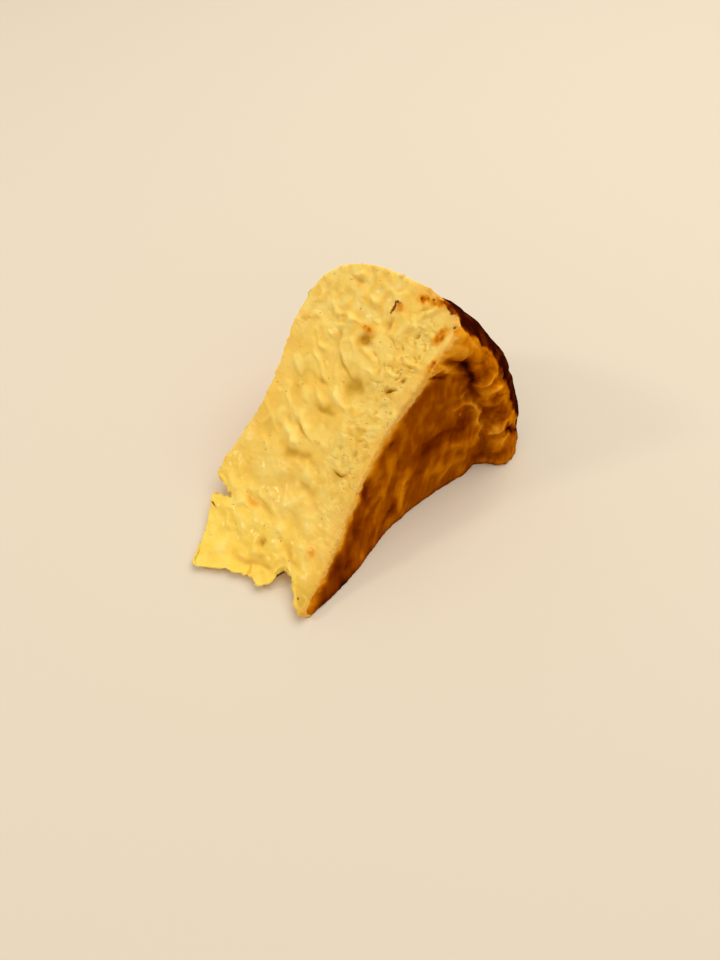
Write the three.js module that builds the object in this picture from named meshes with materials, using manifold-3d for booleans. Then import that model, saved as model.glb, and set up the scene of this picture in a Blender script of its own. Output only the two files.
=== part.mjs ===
// A slice of burnt-top basque cheesecake, lying on one of its two cut faces.
//
// Millimetres, +Z up. +X runs along the cut edge from the torn tip of the slice to its outer
// wall, +Y from the browned top of the cake to its bottom. The origin is under the middle of
// the slice, on the plane that it lies on.
//
// The slice is one piece of food, so it is one solid. It is described in the cake's own
// measures: r, the distance from the middle of the cake; depth, from the rim of the browned
// top down to the bottom; and turn, from 0 on the lower cut face to 1 on the upper one.

import * as THREE from 'three';
import { mergeVertices } from 'three/addons/utils/BufferGeometryUtils.js';
import Module from 'manifold-3d';

const wasm = await Module();
wasm.setup();

// Driving dimensions
const RIM_RADIUS = 102;          // middle of the cake to where the browned lip turns over
const CAKE_HEIGHT = 58;          // rim to bottom
const SLICE_ANGLE = THREE.MathUtils.degToRad(39.4);
const LEAN = 0.153;              // the soft slice slumps towards the bottom of the cake
const SAG = 0.0017;              // and a little more the higher it stands, per mm

const DISH_DEPTH = 6.8;          // how far the middle of the browned top has sunk
const DISH_SKEW = 1.15;          // the deepest part lies nearer the rim than halfway
const DISH_PINCH = 0.4;          // its sides are a little hollower towards the upper cut
const CREASE_RADIUS = 86.5;      // the fold at the inner foot of the raised rim
const CREASE_BOW = 4.5;          // it swings out halfway between the cut faces
const CREASE_WIDTH = 3.4;
const CREASE_DEPTH = 2.2;
const RIM_CREST_RADIUS = 97;
const RIM_CREST_WIDTH = 5;
const RIM_RISE = 2.4;
const RIM_SLUMP = 1.6;           // it stands this much prouder where the slice lies on it
const RIM_FOLDS = 4.5;           // folds across the slice, where the paper was pleated
const RIM_FOLD_HEIGHT = 1.0;

const RIM_SWELL = 3.2;           // the rim bulges outwards halfway between the cut faces
const WALL_SWELL = 6.2;          // and the wall below it a little more
const SWELL_SKEW = 0.8;          // most of it nearer the lower cut face
const SWELL_END = 5;             // it flattens sooner, the higher this is, before the upper cut
const WALL_PLEATS = 6;
const WALL_PLEAT_DEPTH = 0.7;

const NOSE_RISE = 1.9;           // the browned top stands proud near the tip, at the lower cut
const NOSE_RADIUS = 20;
const NOSE_WIDTH = 15;

const TIP_REACH = 22;            // how far the smeared tip goes past the middle of the cake
const TIP_THICKNESS = 3.0;       // of the smear that is left there
const TIP_FADE = 12;             // length over which it fades into the wedge
const TIP_SOFTNESS = 5;          // rounds the hollow where the smear meets the wedge

// The outer wall and bottom corner, as [radius, depth] on the upper cut face
const WALL_PROFILE = [
  [RIM_RADIUS, 0.2],
  [RIM_RADIUS + 4.2, 4],
  [RIM_RADIUS + 6, 11],
  [RIM_RADIUS + 5.2, 23],
  [RIM_RADIUS + 2.4, 37],
  [RIM_RADIUS - 3.3, 49.5],
  [RIM_RADIUS - 11.3, 56.3],
  [RIM_RADIUS - 19.6, 59.4],
  [RIM_RADIUS - 31, 60.4],
];

// The torn edge of the tip, as [r, depth], from the browned point to the spur at the bottom
const TORN_EDGE = [
  [-1.3, 1],
  [-0.2, 4.4],
  [2.4, 7.4],
  [4.3, 10.4],
  [5.0, 13.4],
  [4.2, 15.8],
  [-1.6, 15.6],
  [-4.8, 16.6],
  [-6.0, 18.6],
  [-4.9, 21],
  [-6.2, 23.2],
  [-9.6, 30],
  [-14.6, 35.2],
  [-16.6, 37.8],
  [-16.0, 40.4],
  [-12.8, 42.8],
  [-6.2, 46.8],
  [-1.2, 51],
  [1.6, 53.6],
  [4.4, 55.4],
  [6.0, 52.6],
  [6.7, 49.8],
  [7.3, 47.6],
  [8.3, 50.6],
  [9.1, 54.2],
  [9.6, 57.0],
  [9.2, 59.2],
  [13.4, 59.4],
];
const TEAR_TENSION = 0.35;
const TEAR_POINTS = 78;
const BOTTOM_AT_TIP = CAKE_HEIGHT + 3.1;
const BOTTOM_WAIST = 3.6;        // the bottom edge draws in between the tip and the corner
const BOTTOM_WAIST_RADIUS = 45;
const BOTTOM_WAIST_WIDTH = 20;

// Steps of the surface
const STEPS_OUT = 40;
const STEPS_DOWN = 18;
const STEPS_ROUND = 18;

const bell = (x, middle, width) => Math.exp(-(((x - middle) / width) ** 2));

// Depth of the browned top below the rim plane
function topDepth(r, turn) {
  const across = THREE.MathUtils.clamp(r / RIM_RADIUS, 0, 1);
  const bowl = Math.sin(Math.PI * across ** DISH_SKEW);
  const dish = DISH_DEPTH * Math.max(0, bowl) ** (1 + DISH_PINCH * turn);
  const inner = 1 - turn ** 8;
  const creaseRadius = CREASE_RADIUS + CREASE_BOW * Math.sin(Math.PI * turn);
  const crease = CREASE_DEPTH * inner * bell(r, creaseRadius, CREASE_WIDTH);
  const rise = RIM_RISE + RIM_SLUMP * (1 - turn) ** 6;
  const crest = rise * inner * bell(r, RIM_CREST_RADIUS, RIM_CREST_WIDTH);
  const fold = RIM_FOLD_HEIGHT * inner * bell(r, RIM_CREST_RADIUS, RIM_CREST_WIDTH)
    * Math.sin(2 * Math.PI * RIM_FOLDS * turn);
  const nose = NOSE_RISE * (1 - turn) * bell(r, NOSE_RADIUS, NOSE_WIDTH);
  return dish + crease - crest - fold - nose;
}

// From the cake's own measures to the place of that point in the slice as it lies
function place(r, depth, turn) {
  const angle = turn * SLICE_ANGLE;
  const lift = (r + Math.hypot(r, TIP_SOFTNESS)) / 2;
  const smear = TIP_THICKNESS * turn / (1 + Math.exp((r - TIP_FADE) / (TIP_FADE / 3)));
  const z = lift * Math.sin(angle) + smear;
  const x = r - lift * (1 - Math.cos(angle));
  return new THREE.Vector3(x, depth + LEAN * z + SAG * z * z, z);
}

// The whole wedge, before its tip was torn: a stepped box bent into the cake's measures
function wedge() {
  const wall = new THREE.SplineCurve(WALL_PROFILE.map(([r, depth]) => new THREE.Vector2(r, depth)));
  const box = new THREE.BoxGeometry(1, 1, 1, STEPS_OUT, STEPS_DOWN, STEPS_ROUND);
  const spot = box.attributes.position;
  for (let i = 0; i < spot.count; i += 1) {
    const out = spot.getX(i) + 0.5;
    const down = spot.getY(i) + 0.5;
    const turn = spot.getZ(i) + 0.5;
    const edge = wall.getPointAt(down);
    const inside = THREE.MathUtils.clamp(turn, 0, 1);
    const middle = Math.sin(Math.PI * inside ** SWELL_SKEW) * (1 - inside ** SWELL_END);
    const swell = THREE.MathUtils.lerp(RIM_SWELL, WALL_SWELL, Math.min(1, 4 * down)) * middle;
    const pleat = WALL_PLEAT_DEPTH * middle
      * Math.sin(2 * Math.PI * WALL_PLEATS * turn) * Math.sin(Math.PI * down);
    const r = THREE.MathUtils.lerp(-TIP_REACH, edge.x, out) + (swell + pleat) * out ** 8;
    const tipDepth = down * BOTTOM_AT_TIP;
    const waist = down * BOTTOM_WAIST * bell(r, BOTTOM_WAIST_RADIUS, BOTTOM_WAIST_WIDTH);
    const sunk = topDepth(r, turn) * (1 - down) ** 2;
    const depth = THREE.MathUtils.lerp(tipDepth, edge.y, out) - waist + sunk;
    spot.setXYZ(i, ...place(r, depth, turn));
  }
  return box;
}

// What is missing from the tip: a block whose one side is the torn edge, leaning as the slice does
function missingTip() {
  const torn = new THREE.CatmullRomCurve3(
    TORN_EDGE.map(([r, depth]) => new THREE.Vector3(r, depth, 0)),
    false,
    'catmullrom',
    TEAR_TENSION,
  );
  const beyond = 2 * TIP_REACH;
  const shape = new THREE.Shape();
  shape.moveTo(TORN_EDGE[0][0], -beyond);
  for (const point of torn.getPoints(TEAR_POINTS)) {
    shape.lineTo(point.x, point.y);
  }
  shape.lineTo(TORN_EDGE.at(-1)[0], CAKE_HEIGHT + beyond);
  shape.lineTo(-beyond, CAKE_HEIGHT + beyond);
  shape.lineTo(-beyond, -beyond);
  const block = new THREE.ExtrudeGeometry(shape, { depth: 4 * TIP_REACH, bevelEnabled: false });
  const spot = block.attributes.position;
  for (let i = 0; i < spot.count; i += 1) {
    const z = spot.getZ(i) - TIP_REACH;
    spot.setXYZ(i, spot.getX(i), spot.getY(i) + LEAN * z, z);
  }
  return block;
}

function toSolid(geometry) {
  const bare = geometry.clone();
  bare.deleteAttribute('normal');
  bare.deleteAttribute('uv');
  const merged = mergeVertices(bare, 1e-3);
  return new wasm.Manifold(new wasm.Mesh({
    numProp: 3,
    vertProperties: new Float32Array(merged.attributes.position.array),
    triVerts: new Uint32Array(merged.index.array),
  }));
}

function toGeometry(solid) {
  const mesh = solid.getMesh();
  const geometry = new THREE.BufferGeometry();
  geometry.setAttribute('position', new THREE.BufferAttribute(mesh.vertProperties, 3));
  geometry.setIndex(new THREE.BufferAttribute(mesh.triVerts, 1));
  return geometry;
}

function cheesecakeSlice() {
  const geometry = toGeometry(toSolid(wedge()).subtract(toSolid(missingTip())));
  geometry.computeBoundingBox();
  const { min, max } = geometry.boundingBox;
  geometry.translate(-(min.x + max.x) / 2, -(min.y + max.y) / 2, -min.z);
  const faceted = geometry.toNonIndexed();
  faceted.computeVertexNormals();
  const curd = new THREE.MeshStandardMaterial({ color: 0xecc864, roughness: 0.45, metalness: 0 });
  const mesh = new THREE.Mesh(faceted, curd);
  mesh.name = 'cheesecake_slice';
  return mesh;
}

const cheesecake = new THREE.Group();
cheesecake.name = 'basque_cheesecake';
cheesecake.add(cheesecakeSlice());

export default cheesecake;
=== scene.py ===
# %% [markdown]
# # A slice of burnt-top basque cheesecake
#
# A basque cheesecake is baked very hot in a paper-lined tin until its top burns, and its middle
# stays as soft as cream. This slice has been cut from such a cake and laid on one of its two cut
# faces. Its tip has smeared and torn.
#
# The slice is one piece of food, so nearly all of it is one mesh. The lesson goes through it as a
# sculptor would: first an even skin of small faces over the plain solid, then the knife's ridges
# and the curd's lumps, then the folds of the browned top, then colour, and last the loose crumbs
# and the vanilla seeds.

# %% Load the frame
import math

import bmesh
import bpy
import numpy as np
from mathutils import Euler, Matrix, Vector, noise
from mathutils.bvhtree import BVHTree


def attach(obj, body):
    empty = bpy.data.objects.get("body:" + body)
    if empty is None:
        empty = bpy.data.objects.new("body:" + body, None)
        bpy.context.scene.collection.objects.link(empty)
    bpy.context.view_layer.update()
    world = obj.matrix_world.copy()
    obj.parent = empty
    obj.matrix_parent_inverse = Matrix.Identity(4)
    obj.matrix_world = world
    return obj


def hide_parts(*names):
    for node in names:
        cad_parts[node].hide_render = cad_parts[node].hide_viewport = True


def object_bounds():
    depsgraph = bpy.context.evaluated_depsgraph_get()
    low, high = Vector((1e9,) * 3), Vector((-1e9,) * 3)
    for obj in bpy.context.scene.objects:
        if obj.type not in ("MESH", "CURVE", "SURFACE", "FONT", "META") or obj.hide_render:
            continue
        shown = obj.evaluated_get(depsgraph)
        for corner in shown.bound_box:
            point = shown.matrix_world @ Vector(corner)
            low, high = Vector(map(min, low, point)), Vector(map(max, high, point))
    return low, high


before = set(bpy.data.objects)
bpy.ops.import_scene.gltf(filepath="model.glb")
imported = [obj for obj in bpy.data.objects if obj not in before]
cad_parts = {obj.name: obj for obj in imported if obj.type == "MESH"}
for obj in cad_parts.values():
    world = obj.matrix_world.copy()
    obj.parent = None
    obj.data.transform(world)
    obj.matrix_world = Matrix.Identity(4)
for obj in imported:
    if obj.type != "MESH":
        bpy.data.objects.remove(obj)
cad_low, cad_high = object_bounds()
MM = 0.001
print("the plain solid measures", [round(side / MM, 1) for side in cad_high - cad_low], "mm")

# %% [markdown]
# ## Camera, light and floor
#
# The camera looks steeply down on the slice. The light is one very wide soft lamp, high up and to
# the right, and a bright room. That keeps shadows pale, so the relief of the curd shows by soft
# shading. A small second lamp gives the wet spots their glints. A plain pale floor carries the
# slice.

# %% Camera
CAMERA_PLACE = Vector((-96.58, -117.69, 223.13)) * MM
CAMERA_AIM = Vector((2.22, -6.22, 0.0)) * MM
LENS = 27.04         # mm

camera_data = bpy.data.cameras.new("steep_camera")
camera_data.lens = LENS
camera = bpy.data.objects.new("steep_camera", camera_data)
camera.location = CAMERA_PLACE
camera.rotation_euler = (CAMERA_AIM - CAMERA_PLACE).to_track_quat("-Z", "Y").to_euler()
bpy.context.scene.collection.objects.link(camera)
bpy.context.scene.camera = camera
print("camera", round((CAMERA_AIM - CAMERA_PLACE).length / MM), "mm from its aim")


# %% Lamp, room and the colours as seen
def lamp(name, towards, distance, size, watts, tint):
    """A square lamp that shines at the slice from the direction towards."""
    data = bpy.data.lights.new(name, "AREA")
    data.size = size
    data.energy = watts
    data.color = tint
    one = bpy.data.objects.new(name, data)
    one.location = Vector(towards).normalized() * distance
    one.rotation_euler = (-one.location).to_track_quat("-Z", "Y").to_euler()
    bpy.context.scene.collection.objects.link(one)
    print(name, watts, "W,", size, "m wide")


WARM = (1.0, 0.92, 0.77)
ROOM_TINT = (1.0, 0.94, 0.83, 1.0)
ROOM_STRENGTH = 0.56
lamp("wide_lamp", (0.42, 0.02, 0.90), 1.0, 0.90, 6.5, WARM)
lamp("small_lamp", (-0.64, 0.45, 0.62), 1.0, 0.12, 1.5, WARM)

world = bpy.data.worlds.new("bright_room")
world.use_nodes = True
room = world.node_tree.nodes["Background"]
room.inputs["Color"].default_value = ROOM_TINT
room.inputs["Strength"].default_value = ROOM_STRENGTH
bpy.context.scene.world = world
bpy.context.scene.view_settings.view_transform = "Standard"

# %% Floor
FLOOR_SIZE = 3.0     # m from its middle to each side


def piece_from(bm, name):
    """Turns a bmesh into an object in the scene, smooth shaded."""
    mesh = bpy.data.meshes.new(name)
    bm.to_mesh(mesh)
    bm.free()
    mesh.polygons.foreach_set("use_smooth", [True] * len(mesh.polygons))
    piece = bpy.data.objects.new(name, mesh)
    bpy.context.scene.collection.objects.link(piece)
    return piece


bm = bmesh.new()
bmesh.ops.create_grid(bm, x_segments=2, y_segments=2, size=FLOOR_SIZE)
floor = piece_from(bm, "floor")
print("the floor is", 2 * FLOOR_SIZE, "m wide")

# %% [markdown]
# ## The cake's own measures
#
# Every lump, fold and stain has a place in the whole cake: r, the distance from the middle of the
# cake; depth, from the rim of the top down; and turn, from 0 on the lower cut face to 1 on the
# upper one. The plain solid was bent from those measures, so the cells below bend the same way,
# and also unbend: they find r, depth and turn for any point of the slice.

# %% The slice's shape in the cake
RIM_RADIUS = 102.0   # mm from the middle of the cake to where the browned lip turns over
SLICE_ANGLE = math.radians(39.4)
LEAN = 0.153         # mm towards the bottom of the cake, for each mm of height
SAG = 0.0017         # and this much more, for each mm of height squared
TIP_SOFTNESS = 5.0   # mm over which the two cut faces part at the middle of the cake
TIP_THICKNESS = 3.0  # mm of smear left at the tip
TIP_FADE = 12.0      # mm over which the smear fades into the wedge
TIP_END = -16.61     # mm from the middle of the cake to the end of the torn tip
TOP_END = -1.86      # mm from the rim plane to the proudest point of the browned top

MIDDLE = np.array((cad_low.x / MM - TIP_END, cad_low.y / MM - TOP_END, 0.0))
CUT_NORMAL = np.array((-math.sin(SLICE_ANGLE), 0.0, math.cos(SLICE_ANGLE)))
print("the middle of the cake lies at", MIDDLE.round(2), "mm")


# %% Bend
def bend(r, turn):
    """Where r and turn lie, as x and z in mm from the middle of the cake, with their slopes."""
    angle = turn * SLICE_ANGLE
    root = np.hypot(r, TIP_SOFTNESS)
    lift, lift_slope = (r + root) / 2, (1 + r / root) / 2
    fade = 1 / (1 + np.exp((r - TIP_FADE) / (TIP_FADE / 3)))
    fade_slope = -fade * (1 - fade) * 3 / TIP_FADE
    x = r - lift * (1 - np.cos(angle))
    z = lift * np.sin(angle) + TIP_THICKNESS * turn * fade
    x_by_r = 1 - lift_slope * (1 - np.cos(angle))
    x_by_turn = -lift * np.sin(angle) * SLICE_ANGLE
    z_by_r = lift_slope * np.sin(angle) + TIP_THICKNESS * turn * fade_slope
    z_by_turn = lift * np.cos(angle) * SLICE_ANGLE + TIP_THICKNESS * fade
    return x, z, x_by_r, x_by_turn, z_by_r, z_by_turn


def place(r, depth, turn):
    """The point of the slice at r, depth and turn, in mm in the frame."""
    x, z = bend(np.float64(r), np.float64(turn))[:2]
    return MIDDLE + np.array((x, depth + LEAN * z + SAG * z * z, z))


print("the rim's upper corner lies at", place(RIM_RADIUS, 0, 1).round(1), "mm")

# %% Unbend
UNBEND_STEPS = 14
LARGEST_STEP_R = 8
LARGEST_STEP_TURN = 0.3


def cake_measures(points):
    """r, depth and turn of points in mm, found in a few steps of Newton's method."""
    x, y, z = (points - MIDDLE).T
    depth = y - LEAN * z - SAG * z * z
    r = np.where(x > 0, np.hypot(x, z), x)
    turn = np.clip(np.arctan2(z, np.maximum(x, 1.0)) / SLICE_ANGLE, 0, 1)
    for _ in range(UNBEND_STEPS):
        x_now, z_now, x_by_r, x_by_turn, z_by_r, z_by_turn = bend(r, turn)
        across = x_by_r * z_by_turn - x_by_turn * z_by_r
        step_r = ((x - x_now) * z_by_turn - (z - z_now) * x_by_turn) / across
        step_turn = ((z - z_now) * x_by_r - (x - x_now) * z_by_r) / across
        r = r + np.clip(step_r, -LARGEST_STEP_R, LARGEST_STEP_R)
        step_turn = np.clip(step_turn, -LARGEST_STEP_TURN, LARGEST_STEP_TURN)
        turn = np.clip(turn + step_turn, -0.2, 1.3)
    return r, depth, turn


rim_corner = place(RIM_RADIUS, 0, 1)[None]
print("it unbends to", [float(value[0].round(3)) for value in cake_measures(rim_corner)])

# %% [markdown]
# ## An even skin of small faces
#
# Curd can't be sculpted on a few big triangles. A voxel remesh wraps the solid in even faces of
# under half a millimetre, which is about as fine as the eye makes out. Smoothing then takes off
# the corners: a little everywhere, and much more away from the browned top, where soft curd has
# slumped round. The underside and the back are then thinned, because nothing as fine as the cut
# face is there.

# %% Copies, modifiers and points
def merged_copy(source, name):
    """A new object with the source's shape, its loose triangles welded into one surface."""
    bm = bmesh.new()
    bm.from_mesh(source.data)
    bmesh.ops.remove_doubles(bm, verts=bm.verts, dist=0.001 * MM)
    return piece_from(bm, name)


def bake_modifiers(piece):
    """Makes the piece's mesh what its modifiers show, and takes them off."""
    graph = bpy.context.evaluated_depsgraph_get()
    baked = bpy.data.meshes.new_from_object(piece.evaluated_get(graph))
    piece.modifiers.clear()
    piece.data = baked


def vectors_of(items, name):
    """What a mesh's points or normals hold under a name, one row for each."""
    flat = np.empty(len(items) * 3, np.float32)
    items.foreach_get(name, flat)
    return flat.reshape(-1, 3).astype(float)


def points_of(mesh):
    return vectors_of(mesh.vertices, "co") / MM


def normals_of(mesh):
    return vectors_of(mesh.vertex_normals, "vector")


# %% Smooth shares and painted weights
WEIGHT_STEPS = 16


def ease(values, low, high):
    """0 below low, 1 above high, and a smooth rise between them. It falls if high is the lower."""
    share = np.clip((values - low) / (high - low), 0, 1)
    return share * share * (3 - 2 * share)


def paint_group(piece, name, weights):
    """A vertex group with a weight for each point, kept in sixteenths."""
    group = piece.vertex_groups.new(name=name)
    steps = np.round(weights * WEIGHT_STEPS).astype(int)
    for step in range(1, WEIGHT_STEPS + 1):
        group.add(np.flatnonzero(steps == step).tolist(), step / WEIGHT_STEPS, "REPLACE")


print("a smooth share rises by", [float(ease(step / 4, 0, 1)) for step in range(5)])

# %% Wrap the solid
FACE_SIZE = 0.40 * MM
SMOOTHING = 0.5
SMOOTH_ROUNDS = 4

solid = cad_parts["cheesecake_slice"]
body = merged_copy(solid, "cheesecake_body")
wrap = body.modifiers.new("even_faces", "REMESH")
wrap.mode = "VOXEL"
wrap.voxel_size = FACE_SIZE
settle = body.modifiers.new("settled_corners", "SMOOTH")
settle.factor = SMOOTHING
settle.iterations = SMOOTH_ROUNDS
bake_modifiers(body)
print("wrapped in", len(body.data.polygons), "faces")

# %% Slump the edges that have no skin to hold them
SLUMP_ROUNDS = 18

r, depth, _ = cake_measures(points_of(body.data))
slumping = ease(depth, 13, 24) * (0.45 + 0.55 * ease(r, 0, 20))
paint_group(body, "slumped", slumping)
slump = body.modifiers.new("slumped_edges", "SMOOTH")
slump.vertex_group = "slumped"
slump.factor = SMOOTHING
slump.iterations = SLUMP_ROUNDS
bake_modifiers(body)
body.vertex_groups.clear()
print("slumped", int((slumping > 0.5).sum()), "points")

# %% Thin the faces that are seen less
MOST_TRIANGLES = 192000

normals = normals_of(body.data)
seen_less = (normals @ CUT_NORMAL < 0.25) & (normals[:, 1] > -0.4)
paint_group(body, "seen_less", seen_less.astype(float))
thin = body.modifiers.new("thinned_back", "DECIMATE")
thin.vertex_group = "seen_less"
thin.ratio = MOST_TRIANGLES / (2 * len(body.data.polygons))
bake_modifiers(body)
body.vertex_groups.clear()
print("thinned to", len(body.data.polygons), "triangles")

# %% [markdown]
# ## Where each surface is
#
# The plain solid knows its own surfaces: the browned top, the dark outer wall, the bottom, the two
# cut faces and the torn tip. Each point of the fine mesh asks how far it is from the browned ones.
# That distance sets where skin ends and curd begins.

# %% Sort the plain solid's faces into skins
def skin_tree(chosen):
    """A search tree of the plain solid's chosen faces."""
    bm = bmesh.new()
    bm.from_mesh(solid.data)
    unwanted = [face for face in bm.faces if not chosen[face.index]]
    bmesh.ops.delete(bm, geom=unwanted, context="FACES")
    tree = BVHTree.FromBMesh(bm)
    bm.free()
    return tree


face_middles = np.array([face.center for face in solid.data.polygons]) / MM
face_normals = np.array([face.normal for face in solid.data.polygons])
face_r, face_depth, _ = cake_measures(face_middles)
# Faces are told apart by the way they face, and by where they are in the cake, in mm
cut_faces = (face_normals @ CUT_NORMAL > 0.93) | (face_normals[:, 2] < -0.98)
top_faces = ~cut_faces & (face_depth < 12) & (face_normals[:, 1] < -0.45) & (face_r < 103)
wall_faces = ~cut_faces & ~top_faces & (face_r > 84)
bottom_faces = ~cut_faces & ~wall_faces & (face_depth > 50) & (face_normals[:, 1] > 0.7)
torn_faces = ~cut_faces & ~top_faces & ~wall_faces & ~bottom_faces & (face_r < 16)
for name, chosen in {"top": top_faces, "wall": wall_faces, "torn": torn_faces}.items():
    print(name, int(chosen.sum()), "faces")

# %% Measure every point's distance from the skins
points = points_of(body.data)
normals = normals_of(body.data)
r, depth, turn = cake_measures(points)
arc = r * turn * SLICE_ANGLE
from_cut_edge = r * (1 - turn) * SLICE_ANGLE
facing_up_cut = normals @ CUT_NORMAL


def distance_to(tree):
    """How far each point of the body is from a skin, in mm."""
    spots = (points * MM).tolist()
    return np.array([tree.find_nearest(spot)[3] for spot in spots]) / MM


from_top = distance_to(skin_tree(top_faces))
from_wall = distance_to(skin_tree(wall_faces))
from_bottom = distance_to(skin_tree(bottom_faces))

on_cut = ease(facing_up_cut, 0.35, 0.85) * ease(turn, 0.85, 0.97)
on_under = ease(-normals[:, 2], 0.5, 0.9) * ease(points[:, 2], 0.8, 0.1)
on_top = ease(from_top, 1.2, 0.3)
on_wall = ease(from_wall, 1.2, 0.3) * (1 - on_top)
on_bottom = ease(from_bottom, 1.2, 0.3) * (1 - on_wall)
on_torn = (1 - on_cut) * (1 - on_under) * (1 - on_top) * (1 - on_wall) * (1 - on_bottom)
pale_edge = ease(facing_up_cut, 0.08, 0.42) * ease(depth, 13, 23)
for name, share in {"cut": on_cut, "top": on_top, "wall": on_wall, "torn": on_torn}.items():
    print(name, int((share > 0.5).sum()), "points")

# %% [markdown]
# ## Tools for sculpting
#
# A sculptor needs few strokes: a ridge pulled along a path, a dent, a shelf where the surface
# steps up, and lumps of a chosen size. Each tool here returns a height in millimetres for every
# point, so that strokes can be added up and laid on the surface in one go.

# %% Distance from a path
def along(across, up, path):
    """Each point's distance from a path, its place along it from 0 to 1, and its side of it.

    The side is 1 on the left and -1 on the right, going along the path with up drawn upwards.
    """
    path = np.array(path, float)
    steps = np.diff(path, axis=0)
    lengths = np.maximum(np.hypot(*steps.T), 1e-6)
    starts = np.concatenate(([0], np.cumsum(lengths)))
    nearest = np.full(len(across), 1e9)
    share = np.zeros(len(across))
    side = np.zeros(len(across))
    for (x0, y0), (dx, dy), length, start in zip(path, steps, lengths, starts):
        t = np.clip(((across - x0) * dx + (up - y0) * dy) / length**2, 0, 1)
        away_x, away_y = across - x0 - t * dx, up - y0 - t * dy
        away = np.hypot(away_x, away_y)
        closer = away < nearest
        nearest = np.where(closer, away, nearest)
        share = np.where(closer, (start + t * length) / starts[-1], share)
        side = np.where(closer, np.sign(dx * away_y - dy * away_x), side)
    return nearest, share, side


print("a point 2 mm above a path:", *along(np.array([1.0]), np.array([2.0]), [(0, 0), (4, 0)]))


# %% Ridge, dent, shelf and lumps
def ridge(across, up, path, half_width, height, skew=1.0):
    """A soft ridge, or a groove if height is negative, that fades towards its two ends.

    Its right side is wider than its left one, by the factor skew.
    """
    away, share, side = along(across, up, path)
    fade = 0.45 + 0.55 * np.sin(math.pi * share)
    width = np.where(side > 0, half_width, half_width * skew)
    return height * fade * np.exp(-((away / width) ** 2))


def dent(across, up, spot, radius, height):
    """A round bump, or a dent if height is negative."""
    away = np.hypot(across - spot[0], up - spot[1])
    return height * np.exp(-((away / radius) ** 2))


def shelf(across, up, path, height, softness, reach):
    """A step: the side to the left of the path stands up by height, and eases off within reach."""
    away, _, side = along(across, up, path)
    return height * ease(away * side, -softness, softness) * np.exp(-((away / reach) ** 2))


def lumps(coordinates, size, seed):
    """Smooth chance heights between about -1 and 1, with lumps of a size in mm."""
    shift = np.array((17.3, 5.1, 9.7)) * seed
    return np.array([noise.noise(spot) for spot in (coordinates / size + shift).tolist()]) * 1.6


def together(tool, across, up, strokes):
    """The sum of one tool's strokes."""
    return sum(tool(across, up, *stroke) for stroke in strokes)


print("a lump's height at one point:", float(lumps(np.ones((1, 3)), 4, 1)[0].round(2)))

# %% [markdown]
# ## The cut face
#
# The knife dragged soft curd along, so the middle of the face is full of short pulled ridges with
# smooth hollows between them. Each ridge is steep on one side, where the curd tore, and runs out
# gently on the other. Nearer the outer wall the curd is firmer and breaks into small lumps. Below
# the browned top it is nearly crumbly, with thin cracks. Towards the tip it is creamy, and the
# blade smeared it flat. The marked features are laid as (r, depth) paths, and seeded lumps of the
# right size fill in between them. The crumbs are the cells of a Voronoi pattern, and the borders
# between its cells are the cracks.

# %% Ridges
# Each is its path, then half its width and its height in mm, then its skew
RIDGES = [
    ([(46, 32.5), (47.6, 36), (49, 40), (49.3, 43.5)], 0.8, 1.3, 2.4),
    ([(42, 33), (41.5, 37.5), (42.8, 43)], 2.0, 1.2, 1.3),
    ([(61, 28), (62.5, 31), (66, 33.5), (70.5, 36.3)], 0.9, 1.0, 2.0),
    ([(64.3, 37.5), (66.5, 42), (69.6, 47)], 0.8, 1.1, 2.2),
    ([(71.8, 42.8), (73.2, 46.8)], 0.8, 0.9, 2.0),
    ([(57.8, 33), (58.5, 36), (59.8, 39.5)], 0.8, 0.7, 2.0),
    ([(73.5, 19.3), (76, 22.5), (76.3, 27)], 1.0, 0.7, 1.8),
    ([(51, 18), (54.5, 20), (56.5, 22.8)], 1.2, 0.6, 1.6),
    ([(60.3, 21.5), (63, 18.5), (68.5, 16)], 1.2, 0.5, 1.4),
    ([(77, 46.5), (79.5, 50)], 1.2, 0.5, 1.6),
    ([(94.8, 25.4), (97, 25.2), (99.2, 24.0)], 0.6, 0.4),
    ([(17.8, 36.5), (17.7, 41), (16.4, 45.4)], 0.6, 0.8, 2.6),
    ([(33.5, 25), (36, 29), (36.5, 33)], 1.4, 0.5, 1.8),
    ([(24, 24.5), (26, 27.5)], 1.4, 0.6, 1.6),
    ([(12.5, 39), (11.5, 44), (13.5, 48.5)], 1.2, 0.5, 1.8),
    ([(27, 38), (25.5, 43), (26.5, 47)], 1.6, 0.35, 1.8),
    ([(-8.5, 40), (-5, 43.5), (-1.5, 47)], 1.8, 0.6, 1.6),
]
print(len(RIDGES), "ridges")
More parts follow.
